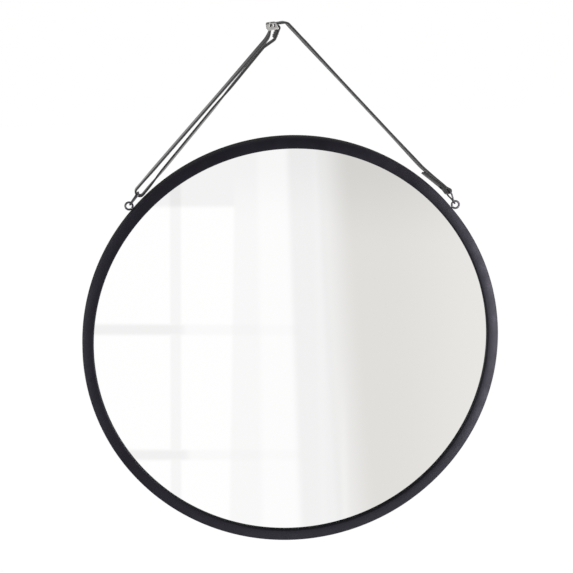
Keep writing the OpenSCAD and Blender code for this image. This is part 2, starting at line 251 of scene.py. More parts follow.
# Mirror glass. A disc of 3 mm float glass, silvered behind and painted grey over the silver. Its
# edge is ground to a fine bevel, and stands in the ring with a hair of room all round.
GLASS_R = 236.5
GLASS_T = 3.0
GLASS_FRONT = 5.0
BEVEL = 0.2
BACK_BEVEL = 0.6
glass_outline = np.array([
    [0, 0], [60, 0], [120, 0], [180, 0], [GLASS_R - BEVEL, 0], [GLASS_R, BEVEL],
    [GLASS_R, GLASS_T - BACK_BEVEL], [GLASS_R - BACK_BEVEL, GLASS_T], [120, GLASS_T],
    [0, GLASS_T]]) + [0, GLASS_FRONT]

silvering, tree, shader = new_finish("silvered_face", (0.93, 0.93, 0.928), 0.0, 1.0)
wiped = noise(tree, place(tree, (1, 1, 0.35)), 9, 4)
tree.links.new(spread(tree, wiped, 0.45, 0.8, 0.0, 0.03), shader.inputs["Roughness"])
ground_edge, tree, shader = new_finish("ground_glass_edge", (0.3, 0.42, 0.36), 0.35)
add_bump(tree, shader, noise(tree, place(tree), 900, 2), 0.3, 0.0001)
back_paint, tree, shader = new_finish("grey_back_paint", (0.2, 0.21, 0.22), 0.6)
add_bump(tree, shader, noise(tree, place(tree), 300, 3), 0.2, 0.0002)

mesh = lathe("silvered_glass", glass_outline, CENTRE, 360)
glass = piece("silvered_glass", mesh, [silvering, ground_edge, back_paint])
normal = np.empty(len(mesh.polygons) * 3, np.float32)
mesh.polygons.foreach_get("normal", normal)
facing = normal.reshape(-1, 3)[:, 1]
mesh.polygons.foreach_set(
    "material_index", np.where(facing < -0.9, 0, np.where(facing > 0.9, 2, 1)).astype(np.int32))
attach(glass, "mirror")
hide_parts("mirror_glass")


# Foam tape. Six strips of double-sided foam hold the glass to the packing card. They are cut from
# a roll, and nothing of them shows once the panel is on.
def dress(node_name, finish):
    """Gives a solid of the part a finish in place of its plain one."""
    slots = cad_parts[node_name].data.materials
    slots.clear()
    slots.append(finish)


tape, tree, shader = new_finish("foam_tape", (0.66, 0.66, 0.63), 0.85)
add_bump(tree, shader, noise(tree, place(tree), 1400, 2), 0.5, 0.0002)
dress("foam_tape", tape)


# Packing card. A disc of brown corrugated card that fills the space behind the glass and packs it
# forwards. The flutes run up and down and show as faint stripes.
card_board, tree, shader = new_finish("corrugated_card", (0.4, 0.28, 0.16), 0.85)
flutes = add_node(tree, "ShaderNodeTexWave", {
    "Vector": place(tree), "Scale": 45.0, "Distortion": 0.4}, bands_direction="X").outputs["Fac"]
pulp = noise(tree, place(tree, (1, 1, 0.4)), 500, 5, 0.6)
tree.links.new(blend_colours(tree, spread(tree, pulp, 0.35, 0.7, 0, 1),
                             (0.33, 0.22, 0.12), (0.46, 0.34, 0.21)), shader.inputs["Base Color"])
add_bump(tree, shader, flutes, 0.3, 0.0003)
dress("packing_card", card_board)


# Back panel. A disc of brown hardboard, smooth on its outer side, with fibres pressed into it,
# drilled and countersunk for eight screws.
hardboard, tree, shader = new_finish("hardboard", (0.2, 0.12, 0.065), 0.7)
where = place(tree)
fibres = noise(tree, place(tree, (1, 1, 0.3)), 420, 6, 0.65)
clouds = noise(tree, where, 11, 5, 0.6)
brown = blend_colours(tree, spread(tree, clouds, 0.35, 0.65, 0, 1),
                      (0.17, 0.098, 0.052), (0.25, 0.155, 0.085))
flecked = blend_colours(tree, spread(tree, fibres, 0.5, 0.72, 0, 0.8), brown, (0.36, 0.25, 0.15))
speck = noise(tree, where, 900, 2)
tree.links.new(blend_colours(tree, spread(tree, speck, 0.62, 0.72, 0, 0.7), flecked,
                             (0.07, 0.042, 0.025)), shader.inputs["Base Color"])
tree.links.new(spread(tree, clouds, 0.3, 0.7, 0.58, 0.75), shader.inputs["Roughness"])
add_bump(tree, shader, fibres, 0.25, 0.0003)
dress("back_panel", hardboard)


# Panel screws. Eight small countersunk wood screws with a cross recess, plated in yellow zinc.
# They go through the panel into the ring's ledge.
zinc, tree, shader = new_finish("yellow_zinc", (0.6, 0.5, 0.28), 0.3, 1.0)
plating = noise(tree, place(tree), 700, 3)
tree.links.new(blend_colours(tree, spread(tree, plating, 0.35, 0.65, 0, 1),
                             (0.62, 0.5, 0.25), (0.55, 0.5, 0.4)), shader.inputs["Base Color"])
tree.links.new(spread(tree, plating, 0.3, 0.7, 0.24, 0.42), shader.inputs["Roughness"])
dress("panel_screws", zinc)


# Wall bumpers. Four turned pads of black rubber, stuck to the panel, keep the frame off the wall.
# Each has a shallow dimple where it touches the wall, and the four turn with the hung mirror.
HANG_TURN = 2.2
PAD_REACH = 215
PAD_R = 6.0
PAD_FOOT = RIM_DEPTH + 0.02
PAD_END = RIM_DEPTH + 3.48
DIMPLE = 0.28
rubber, tree, shader = new_finish("bumper_rubber", (0.022, 0.022, 0.023), 0.62)
bloom = noise(tree, place(tree), 260, 4)
tree.links.new(blend_colours(tree, spread(tree, bloom, 0.4, 0.7, 0, 1),
                             (0.018, 0.018, 0.019), (0.045, 0.044, 0.042)),
               shader.inputs["Base Color"])
add_bump(tree, shader, noise(tree, place(tree), 1500, 2), 0.25, 0.0001)
pad_outline = np.concatenate([
    [[0, PAD_FOOT], [PAD_R - 0.3, PAD_FOOT]],
    corner((PAD_R - 0.4, PAD_FOOT + 0.38), 0.4, -90, 0, 3),
    corner((PAD_R - 1.0, PAD_END - 0.98), 0.98, 0, 90, 6),
    [[3.2, PAD_END], [3.0, PAD_END - DIMPLE], [0, PAD_END - DIMPLE]]])
pads = join("bumper_pads", [
    lathe("pad", pad_outline, CENTRE + PAD_REACH * np.array([np.cos(a), 0, np.sin(a)]), 64)
    for a in np.radians(np.array([45, 135, 225, 315]) - HANG_TURN)])
pads = piece("bumper_pads", outward(pads), [rubber])
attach(pads, "mirror")
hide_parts("wall_bumpers")


# Screw eyes. Dark plated steel wire of 2.4 mm, bent into a closed eye on a shank that is screwed
# into the edge of the ring. The wire's cut end stops a little short of the shank.
EYE_REACH = 255.6
SHANK_FOOT = 239.2
EYE_START, EYE_STOP = -176, 165
EYE_ANGLES = {"left": 137.1, "right": 38.5}
WIRE = 2.4
LOOP_R = 4.3


def aim(degrees):
    """The unit vector at an angle in the plane of the mirror."""
    return np.array([np.cos(np.radians(degrees)), np.sin(np.radians(degrees))])


def wire(name, path, across, thickness, closed=False, sides=20):
    """A round wire along a flat path: a circle at each point, in the plane of the path's own
    normal and of the direction across it. Open ends are closed with a slightly domed cap."""
    ahead = np.roll(path, -1, 0) - np.roll(path, 1, 0)
    if not closed:
        ahead[0], ahead[-1] = path[1] - path[0], path[-1] - path[-2]
    ahead /= np.linalg.norm(ahead, axis=1, keepdims=True)
    across = np.broadcast_to(np.asarray(across, float), path.shape)
    side = np.cross(ahead, across)
    side /= np.linalg.norm(side, axis=1, keepdims=True)
    a = np.linspace(0, 2 * np.pi, sides, endpoint=False)[None, :, None]
    tube = path[:, None] + thickness / 2 * (np.cos(a) * side[:, None] + np.sin(a) * across[:, None])
    if not closed:
        def cap(i, out):
            rings = [path[i] + (tube[i] - path[i]) * k + ahead[i] * out * d * thickness
                     for k, d in ((0.9, 0.06), (0.6, 0.1), (0.0, 0.12))]
            return np.stack(rings if out > 0 else rings[::-1])
        tube = np.concatenate([cap(0, -1), tube, cap(-1, 1)])
    return outward(skin(name, tube, wrap_rows=closed), 50)


gunmetal, tree, shader = new_finish("gunmetal_wire", (0.1, 0.095, 0.11), 0.34, 0.85)
where = place(tree)
worn = noise(tree, where, 330, 5, 0.6)
tree.links.new(blend_colours(tree, spread(tree, worn, 0.45, 0.75, 0, 1),
                             (0.075, 0.07, 0.083), (0.2, 0.19, 0.2)), shader.inputs["Base Color"])
tree.links.new(spread(tree, worn, 0.3, 0.7, 0.28, 0.46), shader.inputs["Roughness"])
add_bump(tree, shader, noise(tree, where, 1600, 2), 0.15, 0.00008)

for side, angle in EYE_ANGLES.items():
    out = aim(angle)
    eye = EYE_REACH * out + [0, CENTRE[2]]
    turn = np.radians(np.linspace(angle + EYE_START, angle + EYE_STOP, 90))
    loop = np.stack([eye[0] + LOOP_R * np.cos(turn), 0 * turn, eye[1] + LOOP_R * np.sin(turn)], -1)
    steps = np.linspace(SHANK_FOOT, EYE_REACH - LOOP_R, 12)[:, None]
    shank = np.concatenate([steps * out[0], 0 * steps, steps * out[1] + CENTRE[2]], -1)
    mesh = join("eye", [
        wire("loop", loop, (0, 1, 0), WIRE),
        wire("shank", shank, (0, 1, 0), WIRE - 0.1)])
    mesh.polygons.foreach_set("use_smooth", np.ones(len(mesh.polygons), bool))
    made = piece(side + "_wire_eye", mesh, [gunmetal])
    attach(made, "mirror")
    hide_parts(side + "_screw_eye")


# Strap. One strip of black bridle leather, 10 mm wide and 2.3 mm thick, grain side out, with
# burnished edges. It is folded round the right ring's bar and riveted, goes over the hook and
# through the buckle, round the left ring's bar, and back to be sewn round the buckle's end bar.
STRAP_W = 10.0
STRAP_T = 2.3
GAP = 0.15
LAYER = STRAP_T + GAP
HALF_LAYER = LAYER / 2
BAR_R = 1.1
WRAP_R = BAR_R + GAP + STRAP_T / 2
HOOK_R = 4.0
OVER_HOOK = HOOK_R + STRAP_T / 2
LEFT_BEND = 4.95
RING_H = 17.0
RING_WIRE = 2.0
RING_LIFT = 1.9
RING_ANGLES = {"left": 51.9, "right": 118.8}
ring_point, ring_bar = {}, {}
for side, angle in EYE_ANGLES.items():
    eye = EYE_REACH * aim(angle) + [0, CENTRE[2]]
    ring_point[side] = eye + RING_LIFT * aim(RING_ANGLES[side])
    ring_bar[side] = ring_point[side] + RING_H * aim(RING_ANGLES[side])

# The buckle is tilted, and its three bars lie to the left of the hook.
TILT = 6.0
BUCKLE_REACH = 13.5
hook_axis = np.array([0, -HOOK_R])
mid_bar = hook_axis - BUCKLE_REACH * aim(TILT) + (OVER_HOOK - WRAP_R) * aim(TILT + 90)
fold_bar = mid_bar + 5.4 * aim(TILT) - LAYER * aim(TILT + 90)
left_slide_bar = mid_bar - 5.25 * aim(TILT) - 1.2 * aim(TILT + 90)

# The folded right end runs up to the left at one angle, and the sewn fold hangs at the other.
RUN = 137.5
BRANCH = 66.6
FOLD_TAIL = 38
SEWN_TAIL = 12


def off_run(along, off):
    """A point beside the folded right end: along it from the bar, and off to its upper side."""
    return ring_bar["right"] + along * aim(RUN) + off * aim(RUN - 90)


def off_branch(along, off):
    """A point beside the sewn fold: down from the buckle's end bar, and off to its right."""
    return fold_bar - along * aim(BRANCH) + off * aim(BRANCH - 90)


# What the strap's middle line goes round, as centre, radius and turn, 1 to the left and -1 to the
# right: the riveted tail, the right ring's bar, the fold's knee, the hook, the buckle's middle bar,
# the left ring's bar, the inner knee, and the buckle's end bar with the sewn tail.
route = [
    (off_run(FOLD_TAIL, -HALF_LAYER - 1.4), 0, 1),
    (off_run(11.7, -HALF_LAYER - 30), 30, -1),
    (off_run(6.3, -HALF_LAYER - 10), 10, -1),
    (ring_bar["right"], 2.45, 1),
    (off_run(6.3, HALF_LAYER + 10), 10, -1),
    (off_run(40, HALF_LAYER + 80), 80, -1),
    (hook_axis, OVER_HOOK, 1),
    (mid_bar, WRAP_R, 1),
    (mid_bar + [-WRAP_R - 24.7, -0.5], 24.5, -1),
    (ring_bar["left"] + 2.5 * aim(48), LEFT_BEND, 1),
    (mid_bar + [-2.6, -33.6], 12.5, -1),
    (off_branch(SEWN_TAIL, WRAP_R - 6), 6, 1),
    (fold_bar, WRAP_R, 1),
    (off_branch(5.5, WRAP_R - LAYER - 4.5), 4.5, -1),
    (off_branch(SEWN_TAIL, WRAP_R - LAYER), 0, 1),
]


def belt(rounds, gap=1.0, bend_step=4.0):
    """The middle line of a belt over rounds, each (centre, radius, turn): straight runs tangent to
    both rounds, and arcs between them. Returns its points, and the length at which each round
    begins."""
    centres = np.array([r[0] for r in rounds])
    turned = np.array([r[1] * r[2] for r in rounds], float)
    gaps = np.diff(centres, axis=0)
    reach = np.hypot(gaps[:, 0], gaps[:, 1])
    heading = np.degrees(np.arctan2(gaps[:, 1], gaps[:, 0])
                         - np.arcsin(np.diff(turned) / reach))
    points = []
    for i, (centre, radius, turn) in enumerate(rounds):
        h0, h1 = heading[max(i - 1, 0)], heading[min(i, len(heading) - 1)]
        sweep = (h1 - h0) % 360 if turn > 0 else -((h0 - h1) % 360)
        count = max(1, int(np.ceil(abs(sweep) / bend_step))) if radius else 0
        h = np.radians(h0 + sweep * np.arange(count + 1) / max(count, 1))
        arc = centre + radius * turn * np.stack([np.sin(h), -np.cos(h)], -1)
        if points:
            start = points[-1][-1]
            run = arc[0] - start
            n = max(2, int(np.hypot(*run) / gap))
            points.append(start + run * (np.arange(1, n) / n)[:, None])
        points.append(arc)
    starts = np.cumsum([0] + [len(p) for p in points])[::2][:len(rounds)]
    path = np.concatenate(points)
    length = np.concatenate([[0], np.cumsum(np.hypot(*np.diff(path, axis=0).T))])
    return path, length, length[starts]


def ramp(value, low, high):
    """A smooth step from 0 to 1 between two values."""
    t = np.clip((value - low) / (high - low), 0, 1)
    return t * t * (3 - 2 * t)


path, length, at = belt(route)
KNEE, HOOK, SLIDE, LEFT_LOOP, INNER_KNEE = at[5], at[6], at[7], at[9], at[10]
loop_end = LEFT_LOOP + np.pi * LEFT_BEND
slack = HOOK - length

# The twist of the three free runs in degrees, faded out before each bend. The right run has about
# 18 near the hook, 11.5 in its middle and 19.5 further down, the outer left run goes from -13 at
# the buckle to -5, and the inner left run has -19.
twist = np.radians(
    (11.5 + 9 * (1 - ramp(slack, 0, 100)) + 8 * ramp(slack, 170, 240))
    * ramp(slack, 0, 32) * ramp(length, KNEE - 60, KNEE - 40)
    - (5 + 8 * (1 - ramp(length, SLIDE + 12, SLIDE + 110)))
    * ramp(length, SLIDE + 7, SLIDE + 18) * (1 - ramp(length, LEFT_LOOP - 34, LEFT_LOOP - 6))
    - 19 * ramp(length, loop_end + 8, loop_end + 40)
    * (1 - ramp(length, INNER_KNEE - 95, INNER_KNEE - 50)))

# The strap's section, a flat oblong with rounded edges, from the grain face over one edge to the
# flesh face and back over the other. Each of its faces wears grain (0), edge (1) or flesh (2).
EDGE_R = 0.62
half_w, half_t = STRAP_W / 2 - 0.02, STRAP_T / 2
flat = np.linspace(-1, 1, 11)[1:-1] * (half_w - EDGE_R)
outer_face = np.stack([flat, -half_t + 0 * flat], -1)
flesh_face = np.stack([-flat, half_t + 0 * flat], -1)
right_edge = np.concatenate([
    corner((half_w - EDGE_R, -half_t + EDGE_R), EDGE_R, -90, 0, 4),
    corner((half_w - EDGE_R, half_t - EDGE_R), EDGE_R, 0, 90, 4)])
section = np.concatenate([outer_face, right_edge, flesh_face, -right_edge])
wears = np.zeros(len(section), np.int32)
n_flat, n_edge = len(flat), len(right_edge)
wears[n_flat + 1:n_flat + n_edge - 2] = 1
wears[n_flat + n_edge - 2:2 * n_flat + n_edge + 1] = 2
wears[2 * n_flat + n_edge + 1:len(section) - 2] = 1

# The strap's surface: the section at each point of the path, across the path and towards the wall,
# both turned by the twist.
ahead = np.gradient(path, axis=0)
ahead /= np.linalg.norm(ahead, axis=1, keepdims=True)
left = np.stack([-ahead[:, 1], 0 * length, ahead[:, 0]], -1)
into = np.array([0.0, 1.0, 0.0])
wide = np.cos(twist)[:, None] * into + np.sin(twist)[:, None] * left
thick = -np.sin(twist)[:, None] * into + np.cos(twist)[:, None] * left
middle = np.stack([path[:, 0], 0 * length, path[:, 1]], -1)
body = (middle[:, None] + section[None, :, :1] * wide[:, None]
        + section[None, :, 1:] * thick[:, None])
flat_body = middle[:, None] + section[None, :, :1] * into + section[None, :, 1:] * left[:, None]
ROLLED = 20.0
run_axis = np.array([aim(RUN)[0], 0, aim(RUN)[1]])
run_side = np.array([aim(RUN - 90)[0], 0, aim(RUN - 90)[1]])
right_end = np.array([ring_bar["right"][0], 0, ring_bar["right"][1]])


def roll_fold(points):
    """The folded end, rolled about its own line by 20 degrees at the ring's bar and by 4 less
    further along it, so that its front edge rises off the mirror's rim."""
    rel = points - right_end
    far, off, deep = rel @ run_axis, rel @ run_side, rel[..., 1]
    turn = np.radians(ROLLED - 4 * ramp(far, 10, 30))
    new_off = off * np.cos(turn) - deep * np.sin(turn)
    new_deep = deep * np.cos(turn) + off * np.sin(turn)
    return (right_end + far[..., None] * run_axis + new_off[..., None] * run_side
            + new_deep[..., None] * into)


on_run = ramp(length, KNEE - 15, KNEE + 25)[:, None, None]
body = body * on_run + roll_fold(flat_body) * (1 - on_run)

# Beside the hook the strap lies askew: its wall side is moved to the left and its room side to the
# right, by a third of the way from its middle.
SKEW = 0.34
yaw = ramp(length, HOOK - 26, HOOK - 4) * (1 - ramp(length, HOOK + 6, HOOK + 11.5))
body[..., 0] -= SKEW * body[..., 1] * yaw[:, None]

# Each cut end is closed by a slightly smaller section and a point, just past the end.
step = np.stack([ahead[:, 0], 0 * length, ahead[:, 1]], -1)
mids = [body[i].mean(0) for i in (0, -1)]
caps = [body[i] * 0.94 + mids[i] * 0.06 + step[i] * d for i, d in ((0, -0.12), (-1, 0.12))]
body = np.concatenate([
    np.broadcast_to(mids[0] - step[0] * 0.14, body[:1].shape), caps[0][None], body,
    caps[1][None], np.broadcast_to(mids[-1] + step[-1] * 0.14, body[:1].shape)])
mesh = skin("leather_strap", body, wrap_rows=False)

# The strap's own map: the length along it and the way round its section, in metres.
rows, cols = body.shape[:2]
along = np.concatenate([[0, 0], length, length[-1:], length[-1:]]) * MM
closed_section = np.concatenate([section, section[:1]])
around = np.cumsum(np.linalg.norm(np.diff(closed_section, axis=0), axis=1))
around = np.concatenate([[0], around]) * MM
r, c = np.meshgrid(np.arange(rows - 1), np.arange(cols), indexing="ij")
uv = np.stack([
    np.stack([along[r], around[c]], -1), np.stack([along[r + 1], around[c]], -1),
    np.stack([along[r + 1], around[c + 1]], -1), np.stack([along[r], around[c + 1]], -1)], 2)
mesh.uv_layers.new(name="strap").data.foreach_set("uv", uv.astype(np.float32).ravel())
index = np.broadcast_to(wears, (rows - 1, cols)).copy()
index[:2], index[-2:] = 1, 1
mesh.polygons.foreach_set("material_index", index.ravel())
outward(mesh, 50)


def strap_place(tree, stretch):
    """The strap's own coordinates in metres: along it and round its section."""
    where = add_node(tree, "ShaderNodeUVMap", uv_map="strap")
    return add_node(tree, "ShaderNodeMapping", {
        "Vector": where.outputs[0], "Scale": stretch}).outputs[0]


grain, tree, shader = new_finish(
    "leather_grain", (0.012, 0.012, 0.014), 0.34, Specular_IOR_Level=0.3, Coat_Weight=0.4,
    Coat_Roughness=0.22, Sheen_Weight=0.15, Sheen_Roughness=0.4)
where = strap_place(tree, (1, 1, 1))
pebbles = add_node(tree, "ShaderNodeTexVoronoi", {"Vector": where, "Scale": 1500.0},
                   feature="DISTANCE_TO_EDGE").outputs["Distance"]
pores = spread(tree, pebbles, 0.0, 0.12, 0, 1)
mottle = noise(tree, where, 260, 5, 0.6)
tree.links.new(blend_colours(tree, spread(tree, mottle, 0.35, 0.7, 0, 1),
                             (0.011, 0.011, 0.012), (0.024, 0.023, 0.026)),
               shader.inputs["Base Color"])
tree.links.new(spread(tree, mottle, 0.3, 0.7, 0.3, 0.46), shader.inputs["Roughness"])
polish = add_node(tree, "ShaderNodeSeparateXYZ", {0: where}).outputs["X"]
tree.links.new(spread(tree, polish, (SLIDE + 25) * MM, (SLIDE + 130) * MM, 0.1, 1.0),
               shader.inputs["Coat Weight"])
add_bump(tree, shader, pores, 0.12, 0.00012)
add_bump(tree, shader, noise(tree, strap_place(tree, (0.3, 1, 1)), 900, 3), 0.25, 0.0002)

burnished, tree, shader = new_finish(
    "burnished_edge", (0.02, 0.019, 0.021), 0.42, Specular_IOR_Level=0.25)
layers = noise(tree, strap_place(tree, (0.08, 1, 1)), 3200, 3)
tree.links.new(blend_colours(tree, spread(tree, layers, 0.35, 0.7, 0, 1),
                             (0.014, 0.013, 0.015), (0.034, 0.032, 0.034)),
               shader.inputs["Base Color"])
add_bump(tree, shader, layers, 0.3, 0.0001)

flesh, tree, shader = new_finish("flesh_side", (0.035, 0.034, 0.036), 0.75,
                                 Sheen_Weight=0.45, Sheen_Roughness=0.35)
nap = noise(tree, strap_place(tree, (0.5, 1, 1)), 2100, 5, 0.7)
tree.links.new(blend_colours(tree, spread(tree, nap, 0.35, 0.7, 0, 1),
                             (0.024, 0.023, 0.025), (0.07, 0.068, 0.072)),
               shader.inputs["Base Color"])
add_bump(tree, shader, nap, 0.6, 0.0002)

strap = piece("leather_strap", mesh, [grain, burnished, flesh])
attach(strap, "hanger")
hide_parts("strap")


# Triangle rings. Each is 2 mm plated wire bent to a triangle: its bar lies in the strap's fold,
# its point hangs in a screw eye, and the wire's two ends meet in one leg. The right one is pulled
# a little out of flat by the rolled fold.
POINT_R = 3.0
BEND_R = 1.6
BAR_HALF = 7.0
SEAM = [9.5, 4.9]
rounds = [(np.array([POINT_R, 0.0]), POINT_R, 1),
          (np.array([RING_H - BEND_R, -(BAR_HALF - BEND_R)]), BEND_R, 1),
          (np.array([RING_H - BEND_R, BAR_HALF - BEND_R]), BEND_R, 1)]
past_once, reach, begins = belt([rounds[2], *rounds, rounds[0]], gap=0.5, bend_step=8)
loop_path = past_once[(reach > begins[1] - 1e-6) & (reach < begins[4] - 1e-6)]
seam = np.argmin(np.linalg.norm(loop_path - SEAM, axis=1))
loop_path = np.roll(loop_path, -seam - 1, axis=0)

# The roll of the right ring grows from nothing at its point to the fold's own at its bar.
ring_roll = {"left": 0.0, "right": ROLLED}
for side, angle in RING_ANGLES.items():
    out = np.array([aim(angle)[0], 0, aim(angle)[1]])
    turn = np.radians(ring_roll[side]) * ramp(loop_path[:, :1], 1, 12)
    bar_line = np.cos(turn) * into - np.sin(turn) * run_side
    point = np.array([ring_point[side][0], 0, ring_point[side][1]])
    path3 = point + loop_path[:, :1] * out + loop_path[:, 1:] * bar_line
    flat_normal = np.cross(out, bar_line)
    flat_normal /= np.linalg.norm(flat_normal, axis=1, keepdims=True)
    made = piece(side + "_wire_triangle",
                 wire("triangle", path3, flat_normal, RING_WIRE - 0.02, sides=24), [gunmetal])
    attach(made, side + "_ring")
    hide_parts(side + "_triangle_ring")


# Slide buckle. Two stamped cheeks with a pair of windows, bright nickel, joined by three round
# bars that are riveted over on the outside. The strap is threaded over and between the bars.
CHEEK_T = 1.3
CHEEK_Y = 6.08
CHEEK_EDGE = 0.22
BAR_END = 6.64
RIVETED = 0.14
cheek_outline = np.concatenate([
    corner((5.2, -2.45), 1.12, 270, 360, 8), corner((2.5, 1.1), 2.7, 0, 90, 12),
    corner((-4.95, 2.3), 1.6, 90, 180, 8), corner((-4.95, -2.3), 1.6, 180, 270, 8)])
slot = np.concatenate([corner((0, 0.7), 1.2, 0, 180, 12), corner((0, -0.7), 1.2, 180, 360, 12)])
windows = [
    slot @ np.array([aim(lean), aim(lean + 90)]) + [s, n]
    for s, n, lean in ((-2.1, 1.9, -25), (2.1, 1.1, -5))]


def stamped(name, outlines, y, thickness, edge):
    """A plate cut to an outline with holes: a flat filled curve, given its thickness and a small
    round on its edges, then made a mesh and put in place across the strap."""
    curve = bpy.data.curves.new(name, "CURVE")
    curve.dimensions, curve.fill_mode = "2D", "BOTH"
    curve.extrude, curve.bevel_depth = (thickness / 2 - edge) * MM, edge * MM
    curve.bevel_resolution = 3
    for outline in outlines:
        spline = curve.splines.new("POLY")
        spline.points.add(len(outline) - 1)
        flat4 = np.concatenate([outline * MM, np.zeros((len(outline), 1)),
                                np.ones((len(outline), 1))], 1)
        spline.points.foreach_set("co", flat4.astype(np.float32).ravel())
        spline.use_cyclic_u = True
    holder = bpy.data.objects.new(name, curve)
    bpy.context.scene.collection.objects.link(holder)
    bpy.context.view_layer.update()
    made = bpy.data.meshes.new_from_object(
        holder.evaluated_get(bpy.context.evaluated_depsgraph_get()))
    bpy.data.objects.remove(holder)
    co = np.empty(len(made.vertices) * 3, np.float32)
    made.vertices.foreach_get("co", co)
    co = co.reshape(-1, 3)
    s, n, w = co[:, 0:1], co[:, 1:2], co[:, 2:3]
    base = np.array([mid_bar[0], y, mid_bar[1]]) * MM
    along_s = np.array([aim(TILT)[0], 0, aim(TILT)[1]])
    along_n = np.array([aim(TILT + 90)[0], 0, aim(TILT + 90)[1]])
    spot = base + s * along_s + n * along_n + w * np.array([0, 1, 0])
    made.vertices.foreach_set("co", spot.astype(np.float32).ravel())
    return outward(made, 35)


def bar(name, centre, radius, half):
    """A round bar across the strap. Its ends are riveted over into low domes, whose height falls
    with the square of the share of the radius."""
    share = np.linspace(0.25, 1, 6)
    dome = np.stack([share * radius * 1.05, half + RIVETED * (1 - share ** 2)], -1)
    outline = np.concatenate([
        [[0, -half - RIVETED]], dome * [1, -1], [[radius, -half + 0.2], [radius, half - 0.2]],
        dome[::-1], [[0, half + RIVETED]]])
    return lathe(name, outline, np.array([centre[0], 0, centre[1]]), 48)


nickel, tree, shader = new_finish("brushed_nickel", (0.4, 0.39, 0.38), 0.3, 1.0)
rubs = noise(tree, place(tree, (1, 1, 0.2)), 900, 4, 0.6)
tree.links.new(blend_colours(tree, spread(tree, rubs, 0.35, 0.7, 0, 1),
                             (0.46, 0.45, 0.44), (0.2, 0.195, 0.19)), shader.inputs["Base Color"])
tree.links.new(spread(tree, rubs, 0.3, 0.7, 0.22, 0.4), shader.inputs["Roughness"])
add_bump(tree, shader, rubs, 0.08, 0.00008)

parts = [stamped("cheek", [cheek_outline, *windows], y, CHEEK_T, CHEEK_EDGE)
         for y in (-CHEEK_Y, CHEEK_Y)]
parts += [bar("bar", centre, BAR_R, BAR_END) for centre in (mid_bar, fold_bar, left_slide_bar)]
buckle_mesh = join("nickel_slide", parts)
buckle_mesh.polygons.foreach_set("use_smooth", np.ones(len(buckle_mesh.polygons), bool))
buckle_mesh.set_sharp_from_angle(angle=np.radians(35))
buckle = piece("nickel_slide", buckle_mesh, [nickel])
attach(buckle, "hanger")
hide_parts("slide_buckle")


# Rivet. A black double-capped rivet holds the two layers of the strap's right end: its post goes
# through both, and the cap is pressed on from below.
enamel, tree, shader = new_finish("black_enamel", (0.03, 0.03, 0.033), 0.3, 0.4)
chips = noise(tree, place(tree), 600, 4)
tree.links.new(blend_colours(tree, spread(tree, chips, 0.5, 0.75, 0, 1),
                             (0.022, 0.022, 0.025), (0.12, 0.11, 0.1)),
               shader.inputs["Base Color"])
tree.links.new(spread(tree, chips, 0.3, 0.7, 0.22, 0.4), shader.inputs["Roughness"])
PACK = STRAP_T + GAP / 2 + 0.02
POST_R = 1.1
RIVET_REACH = 9
rivet_spot = off_run(RIVET_REACH, 0)
rivet_axis = np.array([aim(RUN - 90)[0], 0, aim(RUN - 90)[1]])


def across(name, outline, spot, axis, steps=48):
    """A turned shape whose axis runs through the strap's layers: each (radius, height) goes round
    that axis, and the whole is rolled with the fold."""
    a = np.linspace(0, 2 * np.pi, steps, endpoint=False)[:, None, None]
    beside = np.cross(axis, [0, 1, 0])
    ring_dir = np.cos(a) * np.array([0, 1, 0]) + np.sin(a) * beside
    base = np.array([spot[0], 0, spot[1]])
    points = base + outline[None, :, :1] * ring_dir + outline[None, :, 1:] * axis
    return outward(skin(name, roll_fold(points)), 40)


dome = np.radians(np.linspace(0, 90, 9))
head = np.concatenate([
    [[0, -PACK + 0.1], [POST_R, -PACK + 0.1], [POST_R, PACK], [2.42, PACK]],
    np.stack([1.9 + 0.58 * np.cos(dome), PACK + 0.3 + 0.58 * np.sin(dome)], -1),
    [[0, PACK + 0.89]]])
cap = np.concatenate([
    [[0, -PACK], [2.4, -PACK]],
    np.stack([2.48 * np.cos(dome), -PACK - 0.3 - 0.95 * np.sin(dome)], -1)])
for name, outline in (("rivet_post", head), ("rivet_cap", cap)):
    made = piece(name + "_black", across(name, outline, rivet_spot, rivet_axis), [enamel])
    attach(made, "hanger")
    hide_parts(name)


# Fold stitching. Two short rows of waxed black thread sew the fold at the buckle. Each row runs
# out on one face and back on the other, and each stitch bows up between its holes by the size of a
# sine over the stitch's length.
ROW = 6.6
PITCH = 2.2
THREAD = 0.62
SEW_REACH = PACK + 0.3
sew_axis = np.array([aim(BRANCH - 90)[0], 0, aim(BRANCH - 90)[1]])
down_fold = np.array([-aim(BRANCH)[0], 0, -aim(BRANCH)[1]])
t = np.linspace(0, 2 * np.pi, 120, endpoint=False)
threads = []
for along_row in (6.5, 9.5):
    spot = off_branch(along_row, WRAP_R - HALF_LAYER)
    base = np.array([spot[0], 0, spot[1]])
    y = -ROW / 2 + ROW * (1 - np.cos(t)) / 2
    beat = np.sin(np.pi * (y + ROW / 2) / PITCH)
    bow = 0.22 * np.abs(beat) - 0.1
    height = np.where(t < np.pi, SEW_REACH + bow, -SEW_REACH - bow)
    lean = np.where(t < np.pi, 0.12, -0.12) * beat
    line = base + height[:, None] * sew_axis + y[:, None] * into + lean[:, None] * down_fold
    threads.append(wire("thread", line, down_fold, THREAD, closed=True, sides=10))
waxed, tree, shader = new_finish("waxed_thread", (0.03, 0.03, 0.033), 0.5, Sheen_Weight=0.4)
strands = add_node(tree, "ShaderNodeTexWave", {
    "Vector": place(tree), "Scale": 700.0, "Distortion": 1.0}).outputs["Fac"]
tree.links.new(blend_colours(tree, strands, (0.018, 0.018, 0.02), (0.06, 0.06, 0.064)),
               shader.inputs["Base Color"])
add_bump(tree, shader, strands, 0.6, 0.0001)
made = piece("waxed_stitches", join("waxed_stitches", threads), [waxed])
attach(made, "hanger")
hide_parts("fold_stitching")


